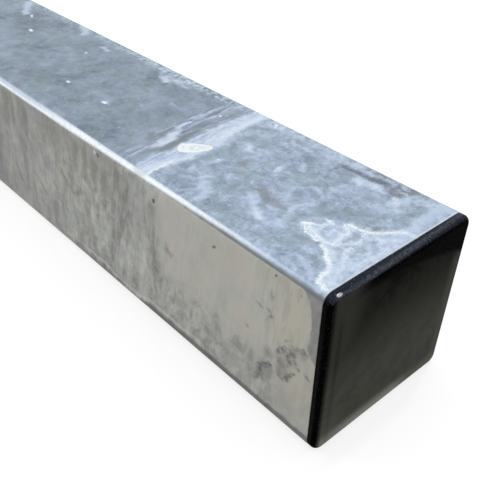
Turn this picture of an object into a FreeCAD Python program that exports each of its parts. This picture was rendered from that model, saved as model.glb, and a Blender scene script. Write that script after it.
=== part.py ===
import FreeCAD, Part
import os
import Sketcher

# A square hollow steel fence post lying on its side, with a moulded push-in cap in its top end.
# Millimetres. X runs along the post towards the capped end, Z is up as the post lies, and the origin
# is in the middle of the underside, half way along the overall length.
# Each body is drawn in a frame of its own: X along the post, with the section centred on Y and Z.

TOLERANCE = 1e-6

# Driving dimensions
SIZES = {
    # The tube
    "post_length": 1800,
    "post_width": 100,
    "wall": 3,
    "inside_radius": 3,
    "end_round": 0.4,
    # The bead that the seam weld leaves inside the tube
    "seam_width": 4,
    "seam_height": 0.8,
    # The cap's flange, which covers the cut end
    "flange_thickness": 5.5,
    "flange_inset": 0.2,
    "flange_front_round": 3,
    "flange_back_round": 0.8,
    # The hollow plug behind the flange
    "plug_depth": 26,
    "plug_gap": 3,
    "plug_wall": 2.5,
    "plug_corner_radius": 5,
    "plug_chamfer": 1.2,
    "hollow_corner_radius": 2,
    # The fins on the plug, which grip the bore
    "fin_count": 4,
    "fin_thickness": 1.6,
    "fin_slope": 40,
    "fin_start": 4,
    "fin_end_margin": 4,
    "fin_corner_relief": 4,
    "fin_clearance": 0.1,
    "seam_relief": 0.4,
    # The crossed ribs that stiffen the plug
    "rib_thickness": 2,
    "rib_depth": 16,
}

# Sizes that follow from the driving ones
OUTSIDE_RADIUS = "sizes.inside_radius + sizes.wall"
BORE = "sizes.post_width - 2 * sizes.wall"
SEAM_RADIUS = "(sizes.seam_width ^ 2 / 4 + sizes.seam_height ^ 2) / (2 * sizes.seam_height)"
FLANGE_SIDE = "sizes.post_width - 2 * sizes.flange_inset"
FLANGE_RADIUS = "sizes.inside_radius + sizes.wall - sizes.flange_inset"
PLUG_SIDE = "sizes.post_width - 2 * (sizes.wall + sizes.plug_gap)"
HOLLOW_SIDE = "sizes.post_width - 2 * (sizes.wall + sizes.plug_gap + sizes.plug_wall)"
FIN_SIDE = "sizes.post_width - 2 * (sizes.wall + sizes.fin_clearance)"
FIN_RADIUS = "sizes.inside_radius + sizes.fin_corner_relief"
FIN_ROW = "sizes.plug_depth - sizes.fin_start - sizes.fin_thickness - sizes.fin_end_margin"
RIB_LENGTH = "sizes.post_width - 2 * (sizes.wall + sizes.plug_gap) - sizes.plug_wall"
RELIEF_WIDTH = "sizes.seam_width + 2 * sizes.seam_relief"
RELIEF_INNER = "sizes.post_width / 2 - sizes.wall - sizes.seam_height - sizes.seam_relief"
RELIEF_DEPTH = "sizes.seam_height + sizes.seam_relief"

# Rounds and chamfers, each kept within the wall that carries it
CUT_EDGE_ROUND = "min(sizes.end_round; 0.4 * sizes.wall)"
FRONT_ROUND = "min(sizes.flange_front_round; 0.6 * sizes.flange_thickness)"
BACK_ROUND = "min(sizes.flange_back_round; 0.2 * sizes.flange_thickness)"
LEAD_IN = "min(sizes.plug_chamfer; 0.6 * sizes.plug_wall)"

# Where the bodies lie along the post
TUBE_START = "-(sizes.post_length + sizes.flange_thickness) / 2"
CAP_START = "(sizes.post_length - sizes.flange_thickness) / 2"
AXIS_HEIGHT = "sizes.post_width / 2"


def make_sheet(doc):
    """The spreadsheet of driving dimensions, one named cell to each."""
    sheet = doc.addObject("Spreadsheet::Sheet", "sizes")
    for row, (alias, size) in enumerate(SIZES.items(), start=1):
        sheet.set(f"A{row}", alias)
        sheet.set(f"B{row}", str(size))
        sheet.setAlias(f"B{row}", alias)
    doc.recompute()
    return sheet


def make_body(doc, label, start):
    """An empty body whose frame lies at one station of the post's axis."""
    body = doc.addObject("PartDesign::Body", label)
    body.Label = label
    body.setExpression(".Placement.Base.x", start)
    body.setExpression(".Placement.Base.z", AXIS_HEIGHT)
    return body


def origin_feature(body, role):
    """The origin plane or axis of a body that has this role."""
    return next(item for item in body.Origin.OriginFeatures if item.Role == role)


def number(sheet, expression):
    """The value that an expression on the sheet has now."""
    return float(sheet.evalExpression(expression))


def section_sketch(body, name):
    """A sketch across the post, at the body's start."""
    sketch = body.newObject("Sketcher::SketchObject", name)
    sketch.AttachmentSupport = [(origin_feature(body, "YZ_Plane"), "")]
    sketch.MapMode = "FlatFace"
    return sketch


def bind(sketch, name, constraint, expression):
    """Adds a dimension to a sketch, names it and ties it to the sheet."""
    index = sketch.addConstraint(constraint)
    sketch.renameConstraint(index, name)
    sketch.setExpression(f"Constraints.{name}", expression)


def draw_rounded_square(sheet, sketch, name, side, radius):
    """A square outline with round corners, centred on the sketch's origin."""
    half = number(sheet, side) / 2
    bend = number(sheet, radius)
    flat = half - bend
    up = FreeCAD.Vector(0, 0, 1)
    turn = FreeCAD.Rotation(up, 90)
    start = FreeCAD.Vector(half, -flat, 0)
    end = FreeCAD.Vector(half, flat, 0)
    centre = FreeCAD.Vector(flat, flat, 0)
    tip = FreeCAD.Vector(flat, half, 0)
    middle = centre + FreeCAD.Rotation(up, 45).multVec(FreeCAD.Vector(bend, 0, 0))
    lines = []
    arcs = []
    for _ in range(4):
        lines.append(sketch.addGeometry(Part.LineSegment(start, end)))
        arcs.append(sketch.addGeometry(Part.Arc(end, middle, tip)))
        start, end, tip, middle = (turn.multVec(point) for point in (start, end, tip, middle))
    right, top, left, bottom = lines
    for place in range(4):
        following = lines[(place + 1) % 4]
        sketch.addConstraint(Sketcher.Constraint("Tangent", lines[place], 2, arcs[place], 1))
        sketch.addConstraint(Sketcher.Constraint("Tangent", arcs[place], 2, following, 1))
    for line in (right, left):
        sketch.addConstraint(Sketcher.Constraint("Vertical", line))
    for line in (top, bottom):
        sketch.addConstraint(Sketcher.Constraint("Horizontal", line))
    for arc in arcs[1:]:
        sketch.addConstraint(Sketcher.Constraint("Equal", arcs[0], arc))
    sketch.addConstraint(Sketcher.Constraint("Symmetric", arcs[0], 3, arcs[2], 3, -1, 1))
    width = Sketcher.Constraint("DistanceX", left, 1, right, 1, 2 * half)
    height = Sketcher.Constraint("DistanceY", bottom, 1, top, 1, 2 * half)
    bind(sketch, f"{name}_width", width, side)
    bind(sketch, f"{name}_height", height, side)
    bind(sketch, f"{name}_radius", Sketcher.Constraint("Radius", arcs[0], bend), radius)


def draw_rectangle(sheet, sketch, left, width, height):
    """A rectangle that starts at a distance along the sketch's first axis, centred on that axis."""
    start = number(sheet, left)
    end = start + number(sheet, width)
    half = number(sheet, height) / 2
    corners = [(start, -half), (end, -half), (end, half), (start, half)]
    points = [FreeCAD.Vector(across, up, 0) for across, up in corners]
    lines = []
    for place in range(4):
        line = Part.LineSegment(points[place], points[(place + 1) % 4])
        lines.append(sketch.addGeometry(line))
    bottom, right, top, far = lines
    for place in range(4):
        following = lines[(place + 1) % 4]
        sketch.addConstraint(Sketcher.Constraint("Coincident", lines[place], 2, following, 1))
    for line in (bottom, top):
        sketch.addConstraint(Sketcher.Constraint("Horizontal", line))
    for line in (right, far):
        sketch.addConstraint(Sketcher.Constraint("Vertical", line))
    bind(sketch, "start", Sketcher.Constraint("DistanceX", -1, 1, bottom, 1, start), left)
    bind(sketch, "width", Sketcher.Constraint("DistanceX", bottom, 1, bottom, 2, end - start), width)
    bind(sketch, "height", Sketcher.Constraint("DistanceY", right, 1, right, 2, 2 * half), height)
    bind(sketch, "rise", Sketcher.Constraint("DistanceY", -1, 1, right, 2, half), f"({height}) / 2")


def draw_seam(sheet, sketch):
    """The bead's profile: a round crest on the inner wall, with its root half way into the steel."""
    face = number(sheet, BORE) / 2
    root = number(sheet, "sizes.wall / 2")
    half = number(sheet, "sizes.seam_width / 2")
    crest = face - number(sheet, "sizes.seam_height")
    low_root = FreeCAD.Vector(face + root, -half, 0)
    high_root = FreeCAD.Vector(face + root, half, 0)
    high_face = FreeCAD.Vector(face, half, 0)
    low_face = FreeCAD.Vector(face, -half, 0)
    back = sketch.addGeometry(Part.LineSegment(low_root, high_root))
    high = sketch.addGeometry(Part.LineSegment(high_root, high_face))
    dome = sketch.addGeometry(Part.Arc(high_face, FreeCAD.Vector(crest, 0, 0), low_face))
    low = sketch.addGeometry(Part.LineSegment(low_face, low_root))
    outline = [back, high, dome, low]
    for place in range(4):
        following = outline[(place + 1) % 4]
        sketch.addConstraint(Sketcher.Constraint("Coincident", outline[place], 2, following, 1))
    sketch.addConstraint(Sketcher.Constraint("Vertical", back))
    sketch.addConstraint(Sketcher.Constraint("Vertical", dome, 1, dome, 2))
    for line in (high, low):
        sketch.addConstraint(Sketcher.Constraint("Horizontal", line))
    distance = Sketcher.Constraint("DistanceX", -1, 1, high, 2, face)
    bind(sketch, "face", distance, f"({BORE}) / 2")
    bind(sketch, "root", Sketcher.Constraint("DistanceX", high, 2, high, 1, root), "sizes.wall / 2")
    bind(sketch, "width", Sketcher.Constraint("DistanceY", back, 1, back, 2, 2 * half), "sizes.seam_width")
    bind(sketch, "rise", Sketcher.Constraint("DistanceY", -1, 1, back, 2, half), "sizes.seam_width / 2")
    radius = Sketcher.Constraint("Radius", dome, number(sheet, SEAM_RADIUS))
    bind(sketch, "crest", radius, SEAM_RADIUS)


def pad(body, name, sketch, length, backwards=False):
    """Extrudes a sketch along the post, or backwards from it."""
    feature = body.newObject("PartDesign::Pad", name)
    feature.Profile = sketch
    feature.Reversed = backwards
    feature.setExpression("Length", length)
    return feature


def pocket(doc, body, name, sketch, length):
    """Cuts a sketch backwards along the post and makes sure that it removed something."""
    before = body.Tip
    feature = body.newObject("PartDesign::Pocket", name)
    feature.Profile = sketch
    feature.setExpression("Length", length)
    doc.recompute()
    if feature.Shape.Volume > before.Shape.Volume - TOLERANCE:
        raise RuntimeError(f"{name} cuts nothing")
    return feature


def rim_edges(feature, station, half):
    """The edges of an outline of this half width that lie across the post at one station."""
    names = []
    for place, edge in enumerate(feature.Shape.Edges, start=1):
        points = [vertex.Point for vertex in edge.Vertexes]
        level = all(abs(point.x - station) < TOLERANCE for point in points)
        outer = all(abs(max(abs(point.y), abs(point.z)) - half) < TOLERANCE for point in points)
        if level and outer:
            names.append(f"Edge{place}")
    return names


def round_rim(doc, body, name, edges, radius):
    """Rounds edges of the body as it stands."""
    feature = body.newObject("PartDesign::Fillet", name)
    feature.Base = edges
    feature.setExpression("Radius", radius)
    doc.recompute()
    return feature


def make_post_tube(doc, sheet):
    """Cold-formed square tube with its weld bead inside, and both cut ends open."""
    body = make_body(doc, "post_tube", TUBE_START)
    section = section_sketch(body, "TubeSection")
    draw_rounded_square(sheet, section, "outside", "sizes.post_width", OUTSIDE_RADIUS)
    draw_rounded_square(sheet, section, "inside", BORE, "sizes.inside_radius")
    tube = pad(body, "Tube", section, "sizes.post_length")
    doc.recompute()
    half = number(sheet, "sizes.post_width / 2")
    length = number(sheet, "sizes.post_length")
    edges = rim_edges(tube, 0, half) + rim_edges(tube, length, half)
    round_rim(doc, body, "CutEdges", (tube, edges), CUT_EDGE_ROUND)
    bead = section_sketch(body, "SeamSection")
    draw_seam(sheet, bead)
    pad(body, "SeamBead", bead, "sizes.post_length")
    doc.recompute()
    return body


def add_flange(doc, sheet, body):
    """The plate on the cut end, with a full round in front and a small one behind."""
    outline = section_sketch(body, "FlangeOutline")
    draw_rounded_square(sheet, outline, "flange", FLANGE_SIDE, FLANGE_RADIUS)
    plate = pad(body, "Flange", outline, "sizes.flange_thickness")
    doc.recompute()
    half = number(sheet, FLANGE_SIDE) / 2
    front = rim_edges(plate, number(sheet, "sizes.flange_thickness"), half)
    rounded = round_rim(doc, body, "FlangeFront", (plate, front), FRONT_ROUND)
    back = rim_edges(rounded, 0, half)
    round_rim(doc, body, "FlangeBack", (rounded, back), BACK_ROUND)


def add_plug(doc, sheet, body):
    """The block behind the flange that goes into the bore, chamfered where it enters."""
    outline = section_sketch(body, "PlugOutline")
    draw_rounded_square(sheet, outline, "plug", PLUG_SIDE, "sizes.plug_corner_radius")
    block = pad(body, "Plug", outline, "sizes.plug_depth", backwards=True)
    doc.recompute()
    depth = number(sheet, "sizes.plug_depth")
    half = number(sheet, PLUG_SIDE) / 2
    chamfer = body.newObject("PartDesign::Chamfer", "PlugLeadIn")
    chamfer.Base = (block, rim_edges(block, -depth, half))
    chamfer.setExpression("Size", LEAD_IN)
    doc.recompute()


def add_fins(doc, sheet, body):
    """The row of fins around the plug, each sloped on the side that goes in first."""
    outline = section_sketch(body, "FinOutline")
    outline.setExpression(".AttachmentOffset.Base.z", "-sizes.fin_start")
    draw_rounded_square(sheet, outline, "fin", FIN_SIDE, FIN_RADIUS)
    fin = pad(body, "Fin", outline, "sizes.fin_thickness", backwards=True)
    fin.setExpression("TaperAngle", "-sizes.fin_slope")
    doc.recompute()
    row = body.newObject("PartDesign::LinearPattern", "FinRow")
    row.Originals = [fin]
    row.Direction = (origin_feature(body, "X_Axis"), [""])
    row.Reversed = True
    row.setExpression("Length", FIN_ROW)
    row.setExpression("Occurrences", "sizes.fin_count")
    body.Tip = row
    doc.recompute()


def add_hollow(doc, sheet, body):
    """The cavity that leaves the plug as a wall, and the notch in the fins that clears the weld bead."""
    cavity = section_sketch(body, "HollowOutline")
    draw_rounded_square(sheet, cavity, "hollow", HOLLOW_SIDE, "sizes.hollow_corner_radius")
    pocket(doc, body, "Hollow", cavity, "sizes.plug_depth")
    notch = section_sketch(body, "SeamNotchOutline")
    draw_rectangle(sheet, notch, RELIEF_INNER, RELIEF_DEPTH, RELIEF_WIDTH)
    pocket(doc, body, "SeamNotch", notch, "sizes.plug_depth")


def add_ribs(doc, sheet, body):
    """Two crossed ribs behind the flange, from wall to wall of the plug."""
    level = section_sketch(body, "LevelRibOutline")
    draw_rectangle(sheet, level, f"-({RIB_LENGTH}) / 2", RIB_LENGTH, "sizes.rib_thickness")
    pad(body, "LevelRib", level, "sizes.rib_depth", backwards=True)
    upright = section_sketch(body, "UprightRibOutline")
    draw_rectangle(sheet, upright, "-sizes.rib_thickness / 2", "sizes.rib_thickness", RIB_LENGTH)
    pad(body, "UprightRib", upright, "sizes.rib_depth", backwards=True)
    doc.recompute()


def make_end_cap(doc, sheet):
    """Moulded cap: a flange over the cut end and a hollow finned plug pushed into the bore."""
    body = make_body(doc, "end_cap", CAP_START)
    add_flange(doc, sheet, body)
    add_plug(doc, sheet, body)
    add_fins(doc, sheet, body)
    add_hollow(doc, sheet, body)
    add_ribs(doc, sheet, body)
    return body


def check(doc, bodies):
    """Stops before anything is written if a feature failed or a piece is not one sound solid."""
    failed = [item.Name for item in doc.Objects if {"Invalid", "Error"} & set(item.State)]
    if failed:
        raise RuntimeError(f"failed features: {failed}")
    for body in bodies:
        shape = body.Shape
        if shape.isNull() or not shape.isValid() or len(shape.Solids) != 1:
            raise RuntimeError(f"{body.Label} is not one valid solid")


def main():
    doc = FreeCAD.newDocument("fence_post")
    sheet = make_sheet(doc)
    bodies = [make_post_tube(doc, sheet), make_end_cap(doc, sheet)]
    doc.recompute()
    check(doc, bodies)
    os.makedirs("parts", exist_ok=True)
    for body in bodies:
        body.Shape.exportStep(f"parts/{body.Label}.step")


main()
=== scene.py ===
import math

import bpy
import numpy as np
from mathutils import Matrix, Vector, noise


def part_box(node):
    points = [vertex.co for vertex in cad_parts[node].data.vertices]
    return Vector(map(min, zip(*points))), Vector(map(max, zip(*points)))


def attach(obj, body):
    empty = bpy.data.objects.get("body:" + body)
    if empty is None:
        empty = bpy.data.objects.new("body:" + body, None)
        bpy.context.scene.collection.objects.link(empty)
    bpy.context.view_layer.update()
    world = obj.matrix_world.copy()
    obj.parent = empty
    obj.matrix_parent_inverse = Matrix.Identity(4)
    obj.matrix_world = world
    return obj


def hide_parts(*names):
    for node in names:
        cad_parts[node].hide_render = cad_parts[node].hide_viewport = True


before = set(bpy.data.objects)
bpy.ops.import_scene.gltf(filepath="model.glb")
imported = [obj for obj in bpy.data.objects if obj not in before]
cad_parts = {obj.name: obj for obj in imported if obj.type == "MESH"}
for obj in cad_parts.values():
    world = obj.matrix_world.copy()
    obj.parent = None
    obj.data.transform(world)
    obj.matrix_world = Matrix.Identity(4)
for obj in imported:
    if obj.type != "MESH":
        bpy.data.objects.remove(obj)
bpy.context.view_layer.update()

MM = 0.001
TINY = 1e-9
ACROSS = 1
HEIGHT = 2
WHITE = (1.0, 1.0, 1.0, 1.0)

# The tube's place, in metres
TUBE_LOW, TUBE_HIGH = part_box("post_tube")
END_X = TUBE_HIGH.x
AXIS_Z = (TUBE_LOW.z + TUBE_HIGH.z) / 2

# The tube's sizes, in millimetres; a place along it is below 0, measured from the cut end under the cap
LENGTH = (TUBE_HIGH.x - TUBE_LOW.x) / MM
HALF = (TUBE_HIGH.y - TUBE_LOW.y) / 2 / MM
WALL = 3.0
BEND = 6.0
CUT_ROUND = 0.4
SEAM_HALF_WIDTH = 2.0
SEAM_HEIGHT = 0.8

# The grid of the tube's skin: fine where the finish is most uneven, coarse further off
STATION_STOPS = (48.0, 172.0, 440.0)
STATION_STEPS = (0.7, 1.1, 2.7, 24.0)
STAINED_FACE_STEP = 0.96
PLAIN_FACE_STEP = 8.0
BEND_STEPS = 8
CUT_STEPS = 3
INNER_ROWS = 30

# The grid's columns over the weld bead, in half widths of the bead
SEAM_COLUMNS = (-1.4, -1.0, -0.75, -0.5, -0.25, 0.25, 0.5, 0.75, 1.0, 1.4)

# The zinc's relief, below the tube's true outside: level, lowest, and swells of (height, size, octaves)
RELIEF_LEVEL = -0.12
RELIEF_FLOOR = -0.4
RELIEF_SWELLS = ((0.05, 55.0, 2), (0.02, 7.0, 3))

# How high each kind of mark stands above the level around it, and how soft its edge is
MARK_HEIGHTS = {
    "band": (0.03, 1.5),
    "star": (0.03, 1.0),
    "vein": (0.06, 0.8),
    "cream": (0.08, 0.8),
    "bright": (0.08, 0.8),
    "brown": (-0.06, 1.5),
    "dark": (-0.04, 0.8),
    "pit": (-0.12, 0.6),
}

# How the marks' edges wander: the size and reach of each bend, and how much of it the small marks take
WANDER = ((10.0, 2.0), (3.2, 1.2))
SMALL_MARKS = ("pit", "bright", "vein")
SMALL_SHARE = 0.3
NOISE_SEED = 5

# The distance that stands for a mark too far off to matter
FAR_OFF = 12.0

# The zinc's shine: roughness in dark and light tones and on the plate, and metal bare and under oxide
ZINC_ROUGHNESS = (0.4, 0.64)
PLATE_ROUGHNESS = 0.4
ZINC_METAL = (0.65, 0.15)
ZINC_BUMP = {"Strength": 0.35, "Distance": 0.0004}

# The plastic's shine, and the painted glint on the cap: a pale spot on its corner
PLASTIC_SHINE = {"Roughness": 0.15, "IOR": 1.02, "Coat Roughness": 0.2}
PLASTIC_BUMP = {"Strength": 0.1, "Distance": 0.0001}
PAINTED_GLINT_PLACE = (3.7, -44.0, 99.7)
PAINTED_GLINT_SIZE = (0.9, 1.7, 0.9)

# The camera, set from the edges in the photograph: its place in millimetres from the foot of the cut end
PICTURE_WIDTH = 500
CAMERA_PLACE = (133.22, -216.10, 278.64)
CAMERA_AZIMUTH = 47.92
CAMERA_ELEVATION = 38.70
CAMERA_ROLL = 0.88
CAMERA_SHIFT = (0.02, 0.05)
CAMERA_CLIP = (0.01, 100.0)
FOCAL_PIXELS = 676.64
SENSOR = 36.0

# The floor and the world, whose strength of 1 shows white
FLOOR_SIZE = 40.0
FLOOR_GLOW = 0.74
FLOOR_COLOUR = (0.4, 0.4, 0.4, 1.0)
WORLD_LIGHT = 0.6
WORLD_SEEN = 1.0

# Soft boxes, as (name, place, aim, size, power), in metres and watts
SOFTBOXES = (
    ("key", (-1.3, -1.15, 0.75), (0.6, 0.0, 0.05), (1.6, 1.1), 12.0),
    ("overhead", (0.4, 0.2, 2.6), (0.4, 0.0, 0.05), (2.4, 1.6), 10.0),
    ("glint", (0.64, 0.94, 2.39), (0.9, 0.0, 0.1), (0.1, 0.1), 7.0),
)

# Strokes on the upper face, as stations of (along, across, radius); near a radius of 0 a stroke is faint
TOP_STROKES = {
    "band": [
        [(-140, 50, 6), (-138.6, 26, 6.2), (-135.8, 11, 6.4), (-134.2, 0, 8.8), (-132.5, -12, 8.6),
         (-131.5, -22, 8.4), (-133.6, -32, 6.8), (-132, -50, 5)],
        [(-162, 40, -0.8), (-161, 22, 0.2), (-160.4, 10, 1), (-158, 0, 1.8), (-153.6, -8, 2),
         (-150.6, -15, 3), (-149.8, -22, 2.6), (-149.4, -30, 0.8), (-148, -46, 0)],
        [(-156, 44, 0.6), (-155.5, 28, 0.2), (-155.5, 15, 0.2)], [(-150, 45, 0.4), (-149, 32, -0.4)],
    ],
    "ridge": [
        [(-137.5, 46, 2), (-136, 30, 2.8), (-134.5, 18, 3), (-132, 8, 3), (-130, 0, 2.6)],
        [(-127.5, -14, 1.6), (-126.5, -22, 2), (-129, -30, 2), (-131, -40, 2.6), (-130, -50, 2.4)],
        [(-153.6, -9, 1), (-150.6, -15, 1.8), (-150, -22, 1.4)], [(-143, 20, 1), (-142, 6, 0.6)],
        [(-135, 4, 1.6), (-133, -2, 1.8)], [(-27, 32, 1.4), (-25, 27.4, 2.2)],
        [(-51.4, 31, 1.4), (-47.6, 28.6, 1.6)], [(-42, 33.6, 1), (-38, 31.6, 1)],
        [(-25.6, -3.6, 0.8), (-23.4, -9, 1.4), (-22.4, -15, 1.2)],
        [(-249, 42.4, 0.6), (-239, 42.2, 0.8), (-228, 40.4, 0.9)], [(-219, 34, 1.6), (-214, 31.6, 1.8)],
        [(-213.4, 37.4, 0.9), (-208, 39, 0.7)], [(-17, 0, 0.6), (-12.4, 4, 0.8), (-7.4, 12, 0.8)],
        [(-20, 1, 0.6), (-12, -2, 0.6), (-4, 1, 0.8)],
        [(-24, -20.6, 0.2), (-20.4, -23.4, 0.6), (-16.8, -28, 0.8), (-13.4, -31, 0.8), (-9.6, -35.2, 0.8)],
        [(-6, -31, 0.2), (-4.4, -37.4, 0.8), (-3.6, -42.6, 0.8)],
        [(-4.4, -26, 0.1), (-3.6, -18, 0.3), (-3.2, -9, 0.1), (-3.6, 2, 0.3), (-3.4, 9.6, 0.1)],
        [(-115.4, 14, 0.8), (-113.4, 10, 1)], [(-87, 8.4, 0.6), (-85.6, 6, 0.8)],
        [(-66, -26, 0.6), (-60, -30, 1)],
    ],
    "pale": [
        [(-76, -20, 1.2), (-71, -23, 1.8), (-65, -27, 2.2), (-59, -30, 1.6)],
        [(-100, -30, 2), (-98.6, -36, 2.6)], [(-92, -34, 1.8), (-91, -42, 2.4)],
        [(-115.5, 15, 2), (-113.4, 11, 2), (-112, 7, 1.4)], [(-87, 8.6, 1.6), (-85.6, 6, 2)],
        [(-54, 14, 1.4), (-49, 8, 1.6)], [(-113.6, -9, 1), (-113.2, -12, 1)],
        [(-104, -27, 1.2), (-101, -24, 1)], [(-80, 21, 1.2), (-77, 17, 1.2)],
        [(-118, -25, 1), (-115, -28, 1)], [(-55, -12, 1.4), (-54, -16, 1.4)],
        [(-52, -24, 1), (-48, -27, 1.4)], [(-341, 46, 3), (-326, 38, 3)],
        [(-420, 40, 4), (-398, 26, 2.6)], [(-7, 44, 3), (-6, 16, 2.6)],
        [(-9, -34, 2), (-6, -40, 2.4), (-5, -45, 2)], [(-8, 10, 1.6), (-5, 6, 1.6)],
        [(-23.4, -11, 0.8), (-22.6, -17, 1.2)], [(-23, -38, 1.4), (-14, -42, 1.8)],
        [(-81, 10, -0.4), (-70, 5, 0.4)], [(-61, 9, 0.6), (-52, 5, 0)], [(-103, 36, 0.6), (-90, 33, 1)],
        [(-84, 39, 0.4), (-72, 40, 0.4)], [(-229, 37, 0.8), (-200, 36, 1.2)],
        [(-40, -17.6, 0.4), (-36, -19.4, 0.6), (-30, -21.4, 0.4), (-24, -23, 0.6), (-18, -29, 1)],
        [(-294, 33, 2), (-287, 32, 2)], [(-224, 34, 2), (-216, 31, 2.4)],
        [(-215, -14, 0), (-208, -17, 0.2)], [(-206, 3, -0.4), (-196, -2, -0.4)],
        [(-88, 34, 0.8), (-84, 33, 0.8)], [(-23, 35, 1.8), (-21, 31, 2)], [(-8, -29, 1), (-4, -33, 1.4)],
    ],
    "bright": [
        [(-215.5, -17, 1.3), (-213, -17, 1.4)], [(-257, -17.5, 1.2), (-255, -18, 1)],
        [(-361, 11, 1.2), (-357, 9.5, 1.2)], [(-392, 28, 0.8), (-386, 25, 0.8)],
        [(-295, 18.5, 0.6), (-292, 17, 0.6)], [(-218, 33, 0.2)], [(-205, 42, 0.7)], [(-232, 44, 0.7)],
        [(-123, 42.5, 0.7), (-121, 39.5, 0.5)], [(-154.5, 26, 0.6), (-153, 24.5, 0.5)], [(-125, 29, 0.6)],
        [(-114, -10, 0.8)], [(-101, 28.5, 0.6)], [(-41.6, -16.8, 0.8)],
    ],
    "dark": [
        [(-67, 36.2, 1.3), (-60, 36.8, 1.9), (-52, 37.4, 1.8), (-44, 38.4, 1.8), (-38, 39, 1.8)],
        [(-66, 34, 0.7), (-67, 29, 0.5)], [(-26.8, -23.5, 0.6)],
    ],
    "haze": [
        [(-46, -6, 1.4), (-40, -3, 2.2), (-34, 2, 2.4), (-29, 7, 2.2), (-24, 12, 2), (-20, 15, 1.8)],
        [(-14, 19, 1.6), (-12.4, 25, 1.6)], [(-41, 24, 2), (-36, 22, 2.2)],
        [(-89, -10, 1.4), (-88, -20, 1.6), (-87, -28, 1.8)],
        [(-107, 25, 1.2), (-102, 27, 1.6), (-97, 25.6, 1.4)], [(-47, 3, 2), (-46, -4, 1.6)],
        [(-20.6, -5, 1), (-18.6, -10, 1.6), (-18.6, -15, 0.8)],
        [(-33, -14, 0.6), (-30, -18, 0.6), (-27, -19.6, 0.4)],
        [(-12, -8, 0.4), (-11, -15, 0.6), (-9, -20, 0.4)], [(-18.6, -21.2, 0.1)], [(-12.8, -24.2, 0.1)],
        [(-83.4, 30, 0.4), (-83, 27, 0.6)], [(-66, 34, 1.4), (-60, 32, 2.8), (-55, 31, 2.4)],
        [(-121, -14, 1.4), (-121, -32, 1.6)], [(-110, -16, 2), (-104, -20, 1.4)],
        [(-122, 26, 2), (-120, 19, 3.4), (-109, 20, 1.8)], [(-112, 2, 1.6), (-108, -8, 2)],
        [(-119, -33, 1.6), (-110, -31, 2)], [(-57, 29, 1.2), (-54, 24, 2)],
        [(-48, -14, 1.6), (-47, -22, 1.6)], [(-72, -7, 1), (-68, -9, 1.4)],
        [(-301, 6, 2), (-291, -1, 3), (-287, -9, 2.4)], [(-253, -41, 2), (-237, -40, 3)],
        [(-222, -40, 2.6), (-213, -41, 2)], [(-121, 8, 2), (-115, 2, 2.4), (-108, 6, 2)],
        [(-191, 10, 2.6), (-182, 6, 3), (-170, 9, 2.4)], [(-322, -20, 4), (-288, -22, 4)],
        [(-46, -24, 1.4), (-37, -26, 2.4)], [(-116, -40, 2), (-106, -36, 1.8)],
        [(-82, -40, 2), (-70, -38, 2)], [(-79, -30, 2), (-69, -33, 2.8)], [(-63, -2, 1.4), (-60, -6, 1)],
        [(-40, -27, 2.6), (-30, -27, 2.6)],
    ],
    "brown": [
        [(-150, 42, 0.8), (-149, 20, 0.9), (-148.5, 8, 1.1), (-147, 0, 1.6), (-146, -8, 2.6),
         (-144, -15, 2.8), (-143.5, -22, 2.6), (-145, -30, 1.6), (-147, -37, 0.8)],
        [(-79, -11, 1.6), (-72, -15, 3.2), (-66, -17, 3.2), (-57, -16, 1.6)],
        [(-162, -18, 2), (-158, -24, 1.8)], [(-104, -3, 2.4), (-98, -5, 1.6)],
        [(-32, 37, 1.6), (-29, 34, 1.6)],
    ],
    "vein": [
        [(-42, -17.4, 1.1), (-40, -15.8, 1)],
        [(-39.4, -15.8, 0.5), (-35.8, -13.2, 0.2), (-34, -9.6, 0.3), (-32.8, -8.2, 0.5)],
        [(-38.2, -7.6, 0.1), (-36.2, -7.8, 0.3), (-32.8, -8.2, 0.5)],
        [(-41.6, -18.4, 0.7), (-39, -20.6, 0.5), (-36.6, -22.6, 0.4), (-33.4, -23, 0.6), (-29, -23.4, 0.6),
         (-26.8, -22.6, 0.4), (-23.8, -24.8, 0.5), (-20.8, -26, 0.8), (-18, -29.4, 0.8), (-14.4, -31, 0.8),
         (-11.8, -33.2, 0.6), (-9.2, -36.6, 0.5), (-9.8, -41, 0.8), (-7, -44.6, 0.9), (-4, -45.6, 0.8),
         (-1.4, -45.6, 0.4)],
        [(-41, -16.6, 0.5), (-39.2, -16.4, 0.4), (-35.4, -19.4, 0.5), (-31.6, -19.8, 0.5),
         (-28.8, -21.2, 0.6), (-24.8, -21.6, 0.4), (-22.4, -20, 0.2)],
        [(-38.4, -17, 0.2), (-37.8, -21.4, 0.3)], [(-35.4, -19.4, 0.3), (-34.8, -22.8, 0.3)],
        [(-31.6, -19.8, 0.3), (-31, -23, 0.4)],
        [(-28.4, -4.8, 0.3), (-26, -2.6, 0.6), (-23.6, -2.4, 0.6), (-19, -1.4, 0.4), (-17.2, -1.2, 0.5),
         (-12.4, 3.4, 0.4), (-10.2, 7.4, 0.3), (-8, 11.2, 0.5), (-5.6, 12.4, 0.2)],
        [(-28, -5, 0.1), (-26.8, -5.8, 0.2), (-24, -7, 0), (-22.8, -9.6, 0.3), (-23.4, -11.6, 0),
         (-22.4, -13.4, 0.2), (-22, -17, 0), (-22.4, -20, 0.1)],
        [(-22.4, -21, 0.1), (-20.8, -19.2, 0), (-18, -15.8, 0.2), (-15, -12.4, -0.2), (-14.6, -10, 0),
         (-16, -6.6, -0.2), (-18, -2.2, 0.2)],
        [(-13, -16, -0.2), (-14.4, -17, 0.1), (-14.4, -19.8, 0.3), (-12.4, -23, 0.1), (-11, -25.4, -0.2),
         (-8.8, -27.8, 0.1), (-6, -30.4, 0)],
        [(-141, -13, 0.5), (-140, -16, 0.6), (-135, -19.5, 0.6), (-132, -18, 0.5)],
        [(-128.5, -31, 0.4), (-127, -46, 0.4)],
    ],
}

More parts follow.
